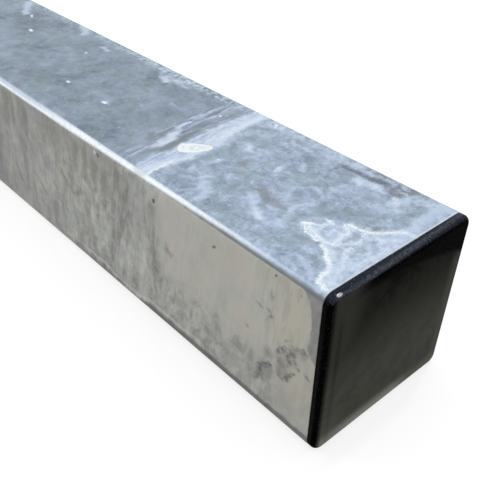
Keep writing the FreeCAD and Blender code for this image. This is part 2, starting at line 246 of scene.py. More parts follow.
# Closed outlines on the upper face, as corners of (along, across)
TOP_OUTLINES = {
    "star": [
        [(-41.5, -17), (-36.4, -12.4), (-33, -8.8), (-28, -6), (-26, -3), (-20, -1.6), (-16, 0), (-13, 4),
         (-9, 10), (-7, 13), (0, 15), (0, -46), (-5, -46), (-9, -42), (-12, -35), (-16, -31.5),
         (-20, -28), (-25, -24.5), (-34, -23)],
    ],
    "grooves": [
        [(-165, 47), (-147.5, 47), (-146, 20), (-144, 0), (-141.5, -12), (-142.5, -28), (-149, -46),
         (-155, -46), (-157, -25), (-162, -5), (-165, 15)],
    ],
    "speckle": [
        [(-56, 42), (-46, 41), (-41, 36.5), (-33, 32.5), (-28, 33), (-24, 38), (-18, 42), (-17, 47),
         (-56, 47)],
    ],
    "pale": [
        [(-52.4, 35.6), (-40, 36.2), (-35, 33), (-33.5, 30), (-37, 29), (-44, 29), (-48, 26), (-50, 27),
         (-52, 30)],
        [(-28, 34), (-23, 31.5), (-22, 26), (-26, 26), (-28.6, 29)],
    ],
}

# Strokes on the front face, as stations of (along, height, radius); near a radius of 0 a stroke is faint
FRONT_STROKES = {
    "pale": [
        [(-33.5, 25, 0.6), (-32, 29, 0.8), (-29, 33, 0.6)], [(-9, 52, 1.4), (-7, 56, 1)],
        [(-142, 72, 2), (-139, 88, 2.6)], [(-134, 68, 2.6), (-130, 84, 2.4)],
        [(-112, 46, 0.4), (-109, 36, 0.8)], [(-116, 18, 0.9), (-118, 12, 0.7)],
        [(-204, 12, 2), (-199, 22, 1.6)], [(-165, 12, 1.6), (-147, 13, 1.8)],
        [(-163, 22, 1), (-160, 60, 1)], [(-46, 17, 2.4), (-44, 13, 1.6)], [(-36, 14, 1.4), (-33, 12, 1)],
        [(-16, 15, 1.2), (-15.4, 12, 1)], [(-6, 12, 2.2), (-2, 11, 2)], [(-64, 18, 1.6), (-55, 16, 1.4)],
        [(-82, 31, 1.6), (-68, 28, 2.2), (-52, 27, 1.8)], [(-216, 62, 1.6), (-209, 78, 1.6)],
    ],
    "bright": [
        [(-174.2, 93, 1)],
    ],
    "pit": [
        [(-119.5, 87.6, 1.1), (-118.4, 88.6, 1)], [(-70.8, 85.2, 0.6), (-69.4, 86.2, 0.5)],
        [(-27.6, 93.6, 0.5), (-27, 94.4, 0.4)], [(-11.6, 92.4, 0.5)],
        [(-12.9, 42.8, 0.6), (-11.8, 43.4, 0.6)], [(-171.4, 92.6, 1.2)], [(-44.7, 51.4, 0.4)],
        [(-71.9, 72, 0.4)],
    ],
    "dark": [
        [(-38, 21.5, 1), (-37.4, 25, 1.3), (-36.2, 30, 1.2), (-34, 33.6, 1), (-31, 36.3, 0.8),
         (-28, 38.6, 0.5)],
        [(-24.2, 49.5, 0.4), (-23.8, 54, 0.9), (-20, 56.4, 0.5), (-17, 57, 0.1)],
        [(-11, 60, 0.3), (-8.4, 61.4, 1), (-6.5, 62.5, 1.1)],
        [(-15.5, 49.5, 1), (-12.5, 50.6, 1.1), (-11.6, 53.5, 0.9)], [(-18, 52, 0.8), (-14.6, 55, 0.9)],
        [(-20.4, 36, 0.8), (-18, 35.2, 1.2), (-15.8, 37, 1), (-14.6, 40, 0.6)], [(-9.6, 48.3, 0.7)],
        [(-4.4, 48, 0.9), (-3.2, 47.2, 0.8)], [(-38.4, 70.8, 0.2), (-34.8, 70.2, 0.2)],
        [(-28.9, 84, 0.1), (-28.4, 78, 0.1)], [(-30.8, 71.4, 0.2), (-28, 69.4, 0.3), (-31, 63.8, 0.3)],
        [(-19.4, 61, 0.4), (-17, 62, 0.5)], [(-110.6, 60.8, 0.5), (-109.8, 59.8, 0.5)],
        [(-106.6, 60.6, -0.1)], [(-112, 64.6, -0.2)],
    ],
    "brown": [
        [(-129.6, 16, 0.6), (-128.6, 40, 0.8), (-127, 60, 0.4), (-125.6, 74, -0.4)],
        [(-124.6, 12, 0.6), (-123.6, 40, 1), (-122.6, 62, 1.2), (-121.6, 84, 1)],
        [(-118.6, 14, 0.4), (-118.4, 40, -0.6), (-118, 64, 0.4)],
        [(-111.4, 63, 0.6), (-110, 60.4, 1.8), (-107, 60, 1.4)], [(-292, 68, 4), (-285, 90, 5)],
        [(-281, 74, 2.6), (-278, 92, 3)], [(-173, 58, 1.6), (-169, 64, 1.6)],
        [(-291, 34, 2.6), (-287, 26, 2.6)], [(-262, 42, 1.2), (-250, 30, 1.6)],
        [(-221, 60, 2.6), (-211, 52, 2.4)], [(-201, 72, 2.6), (-198, 90, 3)],
        [(-191, 32, 2), (-189, 12, 2.6)], [(-51.4, 38, 1.4), (-50.6, 32, 1.6)],
        [(-43, 32, 2), (-41.6, 37, 1.6)], [(-30, 45, 3)], [(-21.6, 38, 2), (-21, 46, 2)],
        [(-28, 12, 0.8), (-27.5, 24, 0.9)], [(-160, 40, 1.6), (-158, 52, 1.4)],
        [(-191, 70, 2.6), (-187, 88, 2.8)], [(-181, 66, 2.4), (-177, 84, 3)],
        [(-170, 68, 2), (-167, 80, 2.4)], [(-205, 52, 2.4), (-200, 57, 2)],
        [(-242, 11, 2.4), (-240, 20, 2.6), (-238, 28, 3)], [(-262, 79, 3.6), (-260, 86, 3.6)],
        [(-54, 33, 2)], [(-45, 51.5, 1)], [(-195, 11, 2)], [(-176, 17, 2)],
    ],
}

# Closed outlines on the front face, as corners of (along, height)
FRONT_OUTLINES = {
    "smudge": [
        [(-38, 21), (-36.4, 31), (-31, 37), (-27, 39), (-26, 34), (-29, 28), (-33, 24)],
        [(-24, 49), (-24, 55), (-17, 58), (-11, 60.5), (-7, 63), (-4.5, 62), (-6, 58), (-10, 57),
         (-11, 53), (-12, 48), (-14.6, 45.4), (-16.4, 41), (-22.6, 40), (-23, 46)],
        [(-22, 42), (-15, 40.6), (-14.6, 37), (-17.6, 34.4), (-20.6, 35.6)],
    ],
}

# Outlines with clean edges: the white spot on the upper face, and the smooth plate on the front face
TOP_CLEAN = {
    "cream": [
        [(-139.8, -13.4), (-138.2, -10), (-133.8, -5.8), (-129.2, -3.2), (-126.4, -3.2), (-125, -5.4),
         (-126, -10), (-128.8, -14.8), (-131.8, -18.4), (-135, -20.2), (-138, -19), (-139.6, -16.4)],
    ],
}
FRONT_CLEAN = {
    "plate": [
        [(-170, 96.6), (-13, 96.6), (-9.5, 95.6), (-6.8, 92.6), (-5.4, 88), (-4.6, 82), (-4.2, 76),
         (-4.6, 70), (-6, 66.5), (-4, 62), (0, 58), (0, 0), (-170, 0)],
    ],
}

# Every kind of mark
MARK_TABLES = (TOP_STROKES, TOP_OUTLINES, TOP_CLEAN, FRONT_STROKES, FRONT_OUTLINES, FRONT_CLEAN)
MARK_NAMES = list(dict.fromkeys(name for table in MARK_TABLES for name in table))


def chain_gap(points, first, last):
    """The gap from points to the run between two stations, and how far along it each point falls."""
    start = np.array(first[:2], float)
    run = np.array(last[:2], float) - start
    share = np.clip((points - start) @ run / max(run @ run, TINY), 0.0, 1.0)
    return np.linalg.norm(points - start - share[:, None] * run, axis=1), share


def stroke_distance(points, stroke):
    """Signed distance in millimetres to a stroke, less than 0 inside."""
    best = np.full(len(points), np.inf)
    stations = stroke if len(stroke) > 1 else stroke * 2
    for first, last in zip(stations[:-1], stations[1:]):
        gap, share = chain_gap(points, first, last)
        best = np.minimum(best, gap - (first[2] + share * (last[2] - first[2])))
    return best


def outline_distance(points, corners):
    """Signed distance in millimetres to a closed outline, less than 0 inside."""
    nearest = np.full(len(points), np.inf)
    inside = np.zeros(len(points), bool)
    for first, last in zip(corners, corners[1:] + corners[:1]):
        nearest = np.minimum(nearest, chain_gap(points, first, last)[0])
        if first[1] == last[1]:
            continue
        slope = (last[0] - first[0]) / (last[1] - first[1])
        crossed = (first[1] > points[:, 1]) != (last[1] > points[:, 1])
        inside ^= crossed & (points[:, 0] < first[0] + (points[:, 1] - first[1]) * slope)
    return np.where(inside, -nearest, nearest)


def wander(points):
    """Points moved a little by noise, so that the marks drawn there have wandering edges."""
    noise.seed_set(NOISE_SEED)
    moved = points.copy()
    for size, reach in WANDER:
        moved += reach * np.array([noise.noise_vector(Vector(point)) for point in points / size])
    return moved


def draw_strokes(marks, chosen, points, moved, strokes):
    """Writes the signed distances of one face's strokes at the chosen points; small marks wander less."""
    for name, group in strokes.items():
        share = SMALL_SHARE if name in SMALL_MARKS else 1.0
        places = points + share * (moved - points)
        for stroke in group:
            marks[name][chosen] = np.minimum(marks[name][chosen], stroke_distance(places, stroke))


def draw_outlines(marks, chosen, points, outlines):
    """Writes the signed distances of one face's closed outlines at the chosen points."""
    for name, group in outlines.items():
        for corners in group:
            marks[name][chosen] = np.minimum(marks[name][chosen], outline_distance(points, corners))


def face_marks(points, normals):
    """The signed distance of each point to the marks of each kind on its own face."""
    marks = {name: np.full(len(points), FAR_OFF) for name in MARK_NAMES}
    upper = normals[:, 1] > 0.5
    facing = (normals[:, 0] < -0.5) & ~upper
    moved = wander(points)
    faces = (
        (upper, [0, 1], TOP_STROKES, TOP_OUTLINES, TOP_CLEAN),
        (facing, [0, 2], FRONT_STROKES, FRONT_OUTLINES, FRONT_CLEAN),
    )
    for chosen, axes, strokes, outlines, clean in faces:
        flat = points[chosen][:, axes]
        flat_moved = moved[chosen][:, axes]
        draw_strokes(marks, chosen, flat, flat_moved, strokes)
        draw_outlines(marks, chosen, flat_moved, outlines)
        draw_outlines(marks, chosen, flat, clean)
    return marks


def section_columns():
    """The tube's outside section as points and outward normals, once round from the upper face."""
    flat = HALF - BEND
    stained = np.linspace(flat, -flat, round(2 * flat / STAINED_FACE_STEP) + 1)
    plain = np.linspace(flat, -flat, round(2 * flat / PLAIN_FACE_STEP) + 1)
    bead = SEAM_HALF_WIDTH * np.array(SEAM_COLUMNS)
    faces = (stained, stained, plain, np.sort(np.append(plain, bead))[::-1])
    points = []
    normals = []
    for turn, places in enumerate(faces):
        angle = math.radians(90 + 90 * turn)
        outward = np.array([math.cos(angle), math.sin(angle)])
        sideways = np.array([-outward[1], outward[0]])
        for place in places:
            points.append(outward * HALF - sideways * place)
            normals.append(outward)
        corner = (outward + sideways) * flat
        for step in range(1, BEND_STEPS):
            bent = angle + math.radians(90) * step / BEND_STEPS
            normal = np.array([math.cos(bent), math.sin(bent)])
            points.append(corner + normal * BEND)
            normals.append(normal)
    return np.array(points), np.array(normals)


def outer_stations():
    """Places along the tube's outside, without the rounded cut edges."""
    stops = [CUT_ROUND, *STATION_STOPS, LENGTH - CUT_ROUND]
    runs = [np.array([CUT_ROUND])]
    for start, end, step in zip(stops[:-1], stops[1:], STATION_STEPS):
        runs.append(np.linspace(start, end, round((end - start) / step) + 1)[1:])
    return -np.concatenate(runs)


def outside_points(base, stations):
    """The points of the tube's true outside, ring after ring, from the foot of the cut end."""
    points = np.zeros((len(stations), len(base), 3))
    points[:, :, 0] = stations[:, None]
    points[:, :, 1] = base[None, :, 0]
    points[:, :, 2] = base[None, :, 1] + HALF
    return points.reshape(-1, 3)


def smooth_step(value, low, high):
    """A smooth rise from 0 to 1 as values go from low to high."""
    share = np.clip((value - low) / (high - low), 0.0, 1.0)
    return share * share * (3 - 2 * share)


def noise_field(points, size, octaves):
    """Smooth noise of about unit swing at points in millimetres."""
    return np.array([noise.fractal(Vector(point), 1.0, 2.0, octaves) for point in points / size])


def zinc_relief(points, marks):
    """How far the zinc stands off the tube's true outside, in millimetres: never above it."""
    relief = np.full(len(points), RELIEF_LEVEL)
    for height, size, octaves in RELIEF_SWELLS:
        relief += height * noise_field(points, size, octaves)
    for name, (height, soft) in MARK_HEIGHTS.items():
        relief += height * smooth_step(-marks[name], -soft, soft)
    return np.clip(relief, RELIEF_FLOOR, 0.0)


def bead_height(base, normals):
    """The height of the weld bead inside the tube, above the inside of the back wall."""
    radius = (SEAM_HALF_WIDTH ** 2 + SEAM_HEIGHT ** 2) / (2 * SEAM_HEIGHT)
    off = np.where(normals[:, 0] > 0.99, np.abs(base[:, 1]), HALF)
    height = np.sqrt(np.maximum(radius ** 2 - off ** 2, 0.0)) - (radius - SEAM_HEIGHT)
    return np.maximum(height, 0.0)


def cut_rings(station, toward, lift):
    """The rounded edge of a cut as rings of (station, lift), out from the outside's last ring."""
    rings = []
    for step in range(1, CUT_STEPS + 1):
        turn = math.radians(90) * step / CUT_STEPS
        reach = CUT_ROUND * math.sin(turn)
        drop = CUT_ROUND * (1 - math.cos(turn))
        rings.append((station + toward * reach, lift - drop))
    return rings


def skin_rings(base, normals, stations, relief):
    """The tube's skin as rings of (station, lift): near cut, outside, far cut and inside."""
    near = cut_rings(stations[0], 1.0, relief[0])
    far = cut_rings(stations[-1], -1.0, relief[-1])
    inside = -WALL - bead_height(base, normals)
    inner = [(station, inside) for station in np.linspace(-LENGTH, 0.0, INNER_ROWS)]
    return near[::-1] + list(zip(stations, relief)) + far + inner


def skin_mesh(base, normals, rings):
    """A closed mesh of the rings, each joined to the next and the last to the first."""
    count = len(base)
    vertices = np.zeros((len(rings), count, 3))
    for ring, (station, lift) in enumerate(rings):
        vertices[ring, :, 0] = END_X / MM + station
        vertices[ring, :, 1:] = base + normals * lift[:, None]
    vertices[:, :, 2] += AXIS_Z / MM
    index = np.arange(len(rings) * count).reshape(len(rings), count)
    down = np.roll(index, -1, axis=0)
    quads = np.stack([index, down, np.roll(down, -1, axis=1), np.roll(index, -1, axis=1)], axis=-1)
    mesh = bpy.data.meshes.new("galvanised_tube")
    mesh.from_pydata((vertices.reshape(-1, 3) * MM).tolist(), [], quads.reshape(-1, 4).tolist())
    mesh.update()
    mesh.shade_smooth()
    return mesh


def store_marks(mesh, marks, rows, count):
    """Keeps the distances to the marks on the mesh, where the shader reads them."""
    for name, values in marks.items():
        field = np.full((len(mesh.vertices) // count, count), FAR_OFF)
        field[CUT_STEPS:CUT_STEPS + rows] = values.reshape(rows, count)
        field[:CUT_STEPS] = field[CUT_STEPS]
        layer = mesh.attributes.new(f"mark_{name}", "FLOAT", "POINT")
        layer.data.foreach_set("value", field.ravel().astype(np.float32))


def add_object(name, data):
    """A new object in the scene."""
    made = bpy.data.objects.new(name, data)
    bpy.context.collection.objects.link(made)
    return made


def make_tube():
    """The galvanised tube: one closed skin, with the zinc's relief outside and the weld bead inside."""
    base, normals = section_columns()
    count = len(base)
    stations = outer_stations()
    rows = len(stations)
    points = outside_points(base, stations)
    marks = face_marks(points, np.tile(normals, (rows, 1)))
    relief = zinc_relief(points, marks).reshape(rows, count)
    mesh = skin_mesh(base, normals, skin_rings(base, normals, stations, relief))
    store_marks(mesh, marks, rows, count)
    return add_object("galvanised_tube", mesh)


class Graph:
    """The shader nodes of a material or of the world, added one after another."""

    def __init__(self, owner):
        self.owner = owner
        owner.use_nodes = True
        self.nodes = owner.node_tree.nodes
        self.links = owner.node_tree.links
        self.nodes.clear()

    def add(self, kind, inputs=None, **settings):
        """A shader node with its settings, and each named input set or linked."""
        node = self.nodes.new("ShaderNode" + kind)
        for name, value in settings.items():
            setattr(node, name, value)
        for name, value in (inputs or {}).items():
            self.feed(node.inputs[name], value)
        return node

    def feed(self, socket, value):
        """Links a socket to another node's output, or sets it to a constant."""
        if isinstance(value, bpy.types.NodeSocket):
            self.links.new(value, socket)
        else:
            socket.default_value = value

    def math(self, operation, first, second=0.0):
        """One sum with two numbers."""
        return self.add("Math", {0: first, 1: second}, operation=operation).outputs[0]

    def times(self, *shares):
        """Numbers multiplied together, where (value, low, high) stands for a smooth rise."""
        made = [self.step(*share) if isinstance(share, tuple) else share for share in shares]
        total = made[0]
        for share in made[1:]:
            total = self.math("MULTIPLY", total, share)
        return total

    def most(self, first, *others):
        """The largest of several numbers."""
        for other in others:
            first = self.math("MAXIMUM", first, other)
        return first

    def weigh(self, *parts):
        """A sum of (number, weight) pairs."""
        total = self.times(*parts[0])
        for value, weight in parts[1:]:
            total = self.math("ADD", total, self.times(value, weight))
        return total

    def off(self, value, middle):
        """How far a number is from a middle, either way."""
        return self.math("ABSOLUTE", self.math("SUBTRACT", value, middle))

    def blend(self, share, first, second):
        """A colour between two, each a node's output or the eight-bit values that a screen shows."""
        node = self.add("Mix", {0: self.times(share)}, data_type="RGBA")
        for slot, colour in ((6, first), (7, second)):
            self.feed(node.inputs[slot], srgb(*colour) if isinstance(colour, tuple) else colour)
        return node.outputs[2]

    def cover(self, colour, tone, *shares):
        """A colour with another over it, as thick as several shares multiplied together."""
        return self.blend(self.times(*shares), colour, tone)

    def between(self, share, first, second):
        """A number between two numbers."""
        return self.add("Mix", {0: self.times(share), 2: first, 3: second}).outputs[0]

    def step(self, value, low, high):
        """A smooth rise from 0 to 1 as a value goes from low to high."""
        inputs = {"Value": value, "From Min": low, "From Max": high}
        return self.add("MapRange", inputs, interpolation_type="SMOOTHSTEP").outputs[0]

    def split(self, vector):
        """The three parts of a vector."""
        return self.add("SeparateXYZ", {0: vector}).outputs[:3]

    def place(self, stretch=(1.0, 1.0, 1.0), shift=(0.0, 0.0, 0.0)):
        """The point on the object in millimetres from the cut end, divided by a stretch, then shifted."""
        coordinates = self.add("TexCoord").outputs["Object"]
        scale = [1 / (MM * part) for part in stretch]
        origin = [shift[0] - END_X * scale[0], shift[1], shift[2]]
        inputs = {0: coordinates, 1: scale, 2: origin}
        return self.add("VectorMath", inputs, operation="MULTIPLY_ADD").outputs[0]

    def lean(self):
        """The three parts of the direction that the surface faces."""
        return self.split(self.add("TexCoord").outputs["Normal"])

    def run(self, place, lean, stretch, axis=HEIGHT):
        """A place for noise that runs down a face, or across it, and leans a little along the post."""
        parts = list(self.split(place))
        parts[0] = self.math("ADD", parts[0], self.times(parts[axis], lean))
        parts[axis] = self.times(parts[axis], 1 / stretch)
        return self.add("CombineXYZ", dict(enumerate(parts))).outputs[0]

    def noise(self, place, size, detail=3.0, roughness=0.5, distortion=0.0):
        """Noise from 0 to 1 whose larger patches are about a size in millimetres."""
        inputs = {"Vector": place, "Scale": 1 / size, "Detail": detail}
        inputs.update({"Roughness": roughness, "Distortion": distortion})
        return self.add("TexNoise", inputs).outputs["Fac"]

    def mark(self, name, ragged, swing, soft):
        """How much a mark covers a point: 1 inside, 0 outside, with an edge torn by noise."""
        distance = self.add("Attribute", attribute_name=f"mark_{name}").outputs["Fac"]
        torn = self.math("ADD", distance, self.times(self.math("SUBTRACT", ragged, 0.5), swing))
        return self.step(self.math("DIVIDE", torn, soft), 1.0, -1.0)

    def seen(self):
        """1 for what the camera, reflections and glass see, and 0 for light on the object."""
        path = self.add("LightPath").outputs
        return self.most(path["Is Camera Ray"], path["Is Glossy Ray"], path["Is Transmission Ray"])

    def finish(self, shader, output="OutputMaterial"):
        """The material or world, with the shader as its surface."""
        self.links.new(shader.outputs[0], self.add(output).inputs["Surface"])
        return self.owner


def srgb(*levels):
    """A linear colour from the eight-bit values that a screen shows."""
    shares = [level / 255 for level in levels]
    linear = [share / 12.92 if share <= 0.04045 else ((share + 0.055) / 1.055) ** 2.4 for share in shares]
    return (*linear, 1.0)


def upper_flecks(graph, colour, across):
    """Light and dark flecks on the upper face, more of them towards its far side."""
    fleck = graph.noise(graph.place(shift=(-12, 55, 0)), 2.4, 5, 0.75)
    crowd = graph.between((across, 34, 46), 0, 0.08)
    light = graph.math("ADD", fleck, crowd)
    dark = graph.math("SUBTRACT", fleck, crowd)
    colour = graph.cover(colour, (212, 225, 238), (light, 0.61, 0.68), 0.5)
    return graph.cover(colour, (92, 102, 110), (dark, 0.38, 0.31), 0.4)


def upper_rim(graph, colour, place, along, across):
    """The pale rim along the upper face's far side, fainter past the pale band."""
    ragged = graph.noise(place, 3.6, 6, 0.7)
    far_rim = graph.times((ragged, 0.42, 0.6), graph.between((along, -330, -220), 0.35, 0.9))
    near_rim = graph.between((ragged, 0.4, 0.6), 0.1, 0.38)
    rim = graph.between((along, -128, -96), far_rim, near_rim)
    return graph.cover(colour, (214, 225, 244), (across, 36.5, 42), rim, 0.75)


def upper_zinc(graph, place, along, across):
    """The upper face's colour: bloom in ragged patches, blue-grey as a painted reflection of sky, lighter
    past the pale band.
    """
    past_band = graph.step(along, -152, -128)
    clouds = graph.noise(place, 34, 2)
    mottle = graph.noise(place, 9, 8, 0.66, 0.6)
    flakes = graph.noise(graph.place(shift=(17, 3, 0)), 4.4, 5, 0.62, 0.4)
    grain = graph.noise(place, 1.9, 4, 0.75)
    near_tone = graph.weigh((clouds, 0.18), (mottle, 0.38), (flakes, 0.2), (grain, 0.24))
    far_tone = graph.weigh((clouds, 0.4), (mottle, 0.36), (flakes, 0.12), (grain, 0.12))
    tone = graph.between(past_band, far_tone, near_tone)
    # Painted reflection of sky: the upper face's tones are blue-grey
    low = graph.blend(past_band, (80, 95, 110), (86, 101, 118))
    high = graph.blend(past_band, (166, 182, 198), (206, 224, 246))
    colour = graph.blend((tone, 0.27, 0.73), low, high)
    hue = graph.noise(graph.place(shift=(31, 7, 0)), 12, 6, 0.64)
    colour = graph.cover(colour, (156, 166, 196), (hue, 0.52, 0.62), 0.3)
    colour = graph.cover(colour, (138, 158, 163), (hue, 0.5, 0.4), 0.42)
    colour = upper_flecks(graph, colour, across)
    return upper_rim(graph, colour, place, along, across), tone


def rough_zinc(graph, along, height, tone, tint, broad):
    """Grey zinc with runs down the face, more olive high up before the pale band and darker far off."""
    colour = graph.blend((tone, 0.3, 0.7), (82, 83, 79), (198, 200, 195))
    colour = graph.cover(colour, (162, 155, 138), (tint, 0.54, 0.64), 0.25)
    colour = graph.cover(colour, (140, 142, 150), (tint, 0.46, 0.38), 0.25)
    olive = graph.times((along, -255, -215), (along, -140, -166), (height, 58, 92))
    colour = graph.cover(colour, (118, 117, 107), olive, graph.between(broad, 0.1, 0.7))
    colour = graph.cover(colour, (124, 125, 124), (along, -205, -275), 0.4)
    speck = graph.noise(graph.place(shift=(3, 0, 77)), 2, 3, 0.7)
    return graph.cover(colour, (90, 90, 86), (speck, 0.34, 0.27), 0.4)


def worn_zinc(graph, colour, along, height, right, patches, mottle):
    """The zinc where the smooth plate is worn off, with a dark strip by the cut end, a painted reflection.
    """
    wear_and_edge_light = graph.blend((patches, 0.28, 0.72), (116, 117, 113), (186, 187, 182))
    colour = graph.cover(colour, wear_and_edge_light, right, 0.85)
    # Painted reflection: a darker mottled strip by the cut end, high on the front face
    end_strip_reflection = graph.times((along, -14, -8), (height, 52, 66))
    return graph.cover(colour, graph.blend(mottle, (92, 93, 91), (148, 149, 147)), end_strip_reflection, 0.7)


def plate_zinc(graph, place, along, tone, tint, wipes):
    """The smooth plate's own colour: warm grey, with smeared streaks towards the cut end."""
    threads = graph.noise(graph.run(place, -0.25, 9), 2.4, 3, 0.5)
    grain = graph.weigh((tone, 0.8), (threads, 0.2))
    colour = graph.blend((grain, 0.2, 0.8), (152, 152, 145), (182, 182, 175))
    colour = graph.cover(colour, (177, 170, 161), (tint, 0.46, 0.6), 0.5)
    colour = graph.cover(colour, (172, 168, 148), (along, -34, -12), 0.4)
    smeared = graph.times((along, -46, -26), (wipes, 0.48, 0.64))
    return graph.cover(colour, (146, 145, 138), smeared, 0.45)


def side_zinc(graph, place, along, height):
    """The sides' colour: olive grey with runs, its warm grey a painted reflection of the ground, and a
    smooth warm plate at the capped end.
    """
    clouds = graph.noise(graph.run(place, -0.2, 1.6), 30, 3, 0.5)
    broad = graph.noise(graph.run(place, -0.2, 3.5), 10, 5, 0.62, 0.6)
    runs = graph.noise(graph.run(place, -0.2, 6), 2.8, 5, 0.66, 0.8)
    mottle = graph.noise(place, 6, 7, 0.66, 0.5)
    tone = graph.weigh((clouds, 0.24), (broad, 0.36), (runs, 0.18), (mottle, 0.22))
    tint = graph.noise(graph.place(shift=(5, 0, 41)), 17, 4, 0.58)
    patches = graph.noise(graph.run(place, -0.3, 1.7), 6, 6, 0.62, 0.5)
    wipes = graph.noise(graph.run(place, -0.1, 5), 3.4, 5, 0.6, 0.3)
    wiped = graph.weigh((patches, 0.45), (wipes, 0.55))
    patches = graph.between((along, -66, -40), patches, wiped)

    right = graph.step(graph.math("ADD", along, graph.times(broad, 26)), -114, -96)
    colour = rough_zinc(graph, along, height, tone, tint, broad)
    colour = worn_zinc(graph, colour, along, height, right, patches, mottle)
    level = graph.weigh((height, 1), (patches, 30), ((along, -100, -70), 4))
    low = graph.times((level, 68, 44), graph.between((along, -32, -12), 0.85, 0.4))
    plate = graph.mark("plate", mottle, 3, 0.5)
    smooth = graph.times(plate, right, graph.math("SUBTRACT", 1, low))
    colour = graph.blend(smooth, colour, plate_zinc(graph, place, along, tone, tint, wipes))
    return colour, tone, smooth, plate


def pale_stains(graph, colour, upward, ragged, fine, streak, patchy, hazy):
    """Grooves, smears, pale patches, the band, the star-shaped stain and ridges, and the oxide in them."""
    tone = graph.blend((streak, 0.4, 0.62), (112, 121, 137), (182, 196, 222))
    grooves = graph.mark("grooves", ragged, 9, 2.5)
    colour = graph.cover(colour, tone, grooves, graph.between(patchy, 0.3, 0.7))
    tone = graph.blend(upward, (116, 115, 108), (122, 127, 130))
    brown = graph.mark("brown", ragged, 6, graph.between(upward, 2.4, 1.9))
    colour = graph.cover(colour, tone, brown, graph.between(streak, 0.3, 1))
    tone = graph.blend(upward, (182, 183, 180), (204, 221, 246))
    pale = graph.mark("pale", ragged, 7, 2)
    colour = graph.cover(colour, tone, pale, graph.between(fine, 0.3, 1))
    tone = graph.blend((streak, 0.36, 0.64), (165, 184, 216), (212, 229, 254))
    band = graph.mark("band", ragged, 9, 1.8)
    colour = graph.cover(colour, tone, band, graph.between(patchy, 0.6, 0.95))
    tone = graph.blend((hazy, 0.34, 0.66), (168, 188, 218), (220, 236, 255))
    star = graph.mark("star", ragged, 4, 1.4)
    colour = graph.cover(colour, tone, star, graph.between(patchy, 0.55, 0.95))
    ridge = graph.mark("ridge", streak, 11, 2.6)
    colour = graph.cover(colour, (227, 239, 253), ridge, graph.between(fine, 0.3, 1))
    colour = graph.cover(colour, (242, 249, 255), band, (graph.off(streak, 0.53), 0.03, 0), 0.55)
    return colour, graph.most(pale, band, ridge, star)


def dark_stains(graph, colour, upward, ragged, fine, patchy):
    """Smudges, haze, the speckled patch and dark scuffs."""
    smudge = graph.mark("smudge", ragged, 7, 2.6)
    colour = graph.cover(colour, (121, 120, 118), smudge, graph.between(patchy, 0.95, 0.45))
    haze = graph.mark("haze", ragged, 9, 3.4)
    colour = graph.cover(colour, (122, 134, 148), haze, graph.between(fine, 0.25, 0.85))
    speckle = graph.mark("speckle", ragged, 5, 2)
    colour = graph.cover(colour, (104, 107, 113), speckle, (ragged, 0.44, 0.57), 0.75)
    tone = graph.blend(upward, (84, 82, 88), (92, 101, 107))
    dark = graph.mark("dark", ragged, 5, graph.between(upward, 1.4, 1.8))
    share = graph.between(upward, graph.between(patchy, 0.95, 0.5), graph.between(fine, 0.4, 1.2))
    return graph.cover(colour, tone, dark, share)


def white_deposits(graph, colour, ragged, fine, hazy):
    """White veins in a lace of crust, the white spot and bright flecks, and the oxide in them."""
    lace = graph.mark("vein", fine, 6, 2.6)
    colour = graph.cover(colour, (222, 235, 252), lace, graph.between((fine, 0.42, 0.6), 0.06, 0.6))
    colour = graph.cover(colour, (238, 246, 253), lace, (graph.off(ragged, 0.5), 0.06, 0.01), 0.7)
    vein = graph.mark("vein", graph.weigh((ragged, 0.45), (fine, 0.55)), 9, 0.9)
    colour = graph.blend(vein, colour, (240, 250, 255))
    cream = graph.mark("cream", ragged, 1.8, 0.6)
    inside = graph.mark("cream", graph.math("ADD", ragged, 0.5), 3, 0.8)
    tone = graph.blend((hazy, 0.4, 0.6), (216, 232, 235), (249, 255, 255))
    colour = graph.blend(cream, colour, graph.blend(inside, (252, 255, 255), tone))
    bright = graph.mark("bright", fine, 2, 0.7)
    colour = graph.blend(bright, colour, (242, 248, 252))
    return colour, graph.most(lace, cream, bright)


def stained_zinc(graph, colour, place, upward):
    """The stains over the zinc's own colour, and how much oxide covers each point."""
    ragged = graph.noise(place, 3.6, 6, 0.7)
    fine = graph.noise(place, 1.2, 3, 0.65)
    streak = graph.noise(graph.run(place, 0.1, 8, ACROSS), 1.8, 5, 0.66, 0.4)
    patchy = graph.step(ragged, 0.36, 0.62)
    hazy = graph.weigh((streak, 0.35), (ragged, 0.65))
    colour, film = pale_stains(graph, colour, upward, ragged, fine, streak, patchy, hazy)
    colour = dark_stains(graph, colour, upward, ragged, fine, patchy)
    colour, crust = white_deposits(graph, colour, ragged, fine, hazy)
    colour = graph.cover(colour, (52, 52, 50), graph.mark("pit", fine, 1.6, 0.6), 0.85)
    return colour, graph.most(film, crust)


def front_foot(graph, colour, tone, along, height, lean_y):
    """The foot of the front face: painted shade at the lower bend, with a thin painted highlight line above
    it.
    """
    clean = graph.times((along, -182, -166), (along, -132, -146))
    below = graph.weigh((height, 1), (tone, 9), (clean, 3))
    facing = (lean_y, -0.2, -0.6)
    # Painted highlight: a thin pale line above the foot
    sill_highlight = graph.times((below, 14, 15.2), (below, 17.4, 16), facing, (along, -230, -190), (along, -60, -110))
    colour = graph.cover(colour, (196, 197, 194), sill_highlight, 0.5)
    # Painted shade: the lower bend dark
    foot_shade = graph.times((below, 14.2, 11.4), facing, (along, -290, -120))
    return graph.cover(colour, (80, 80, 78), foot_shade, 0.8)


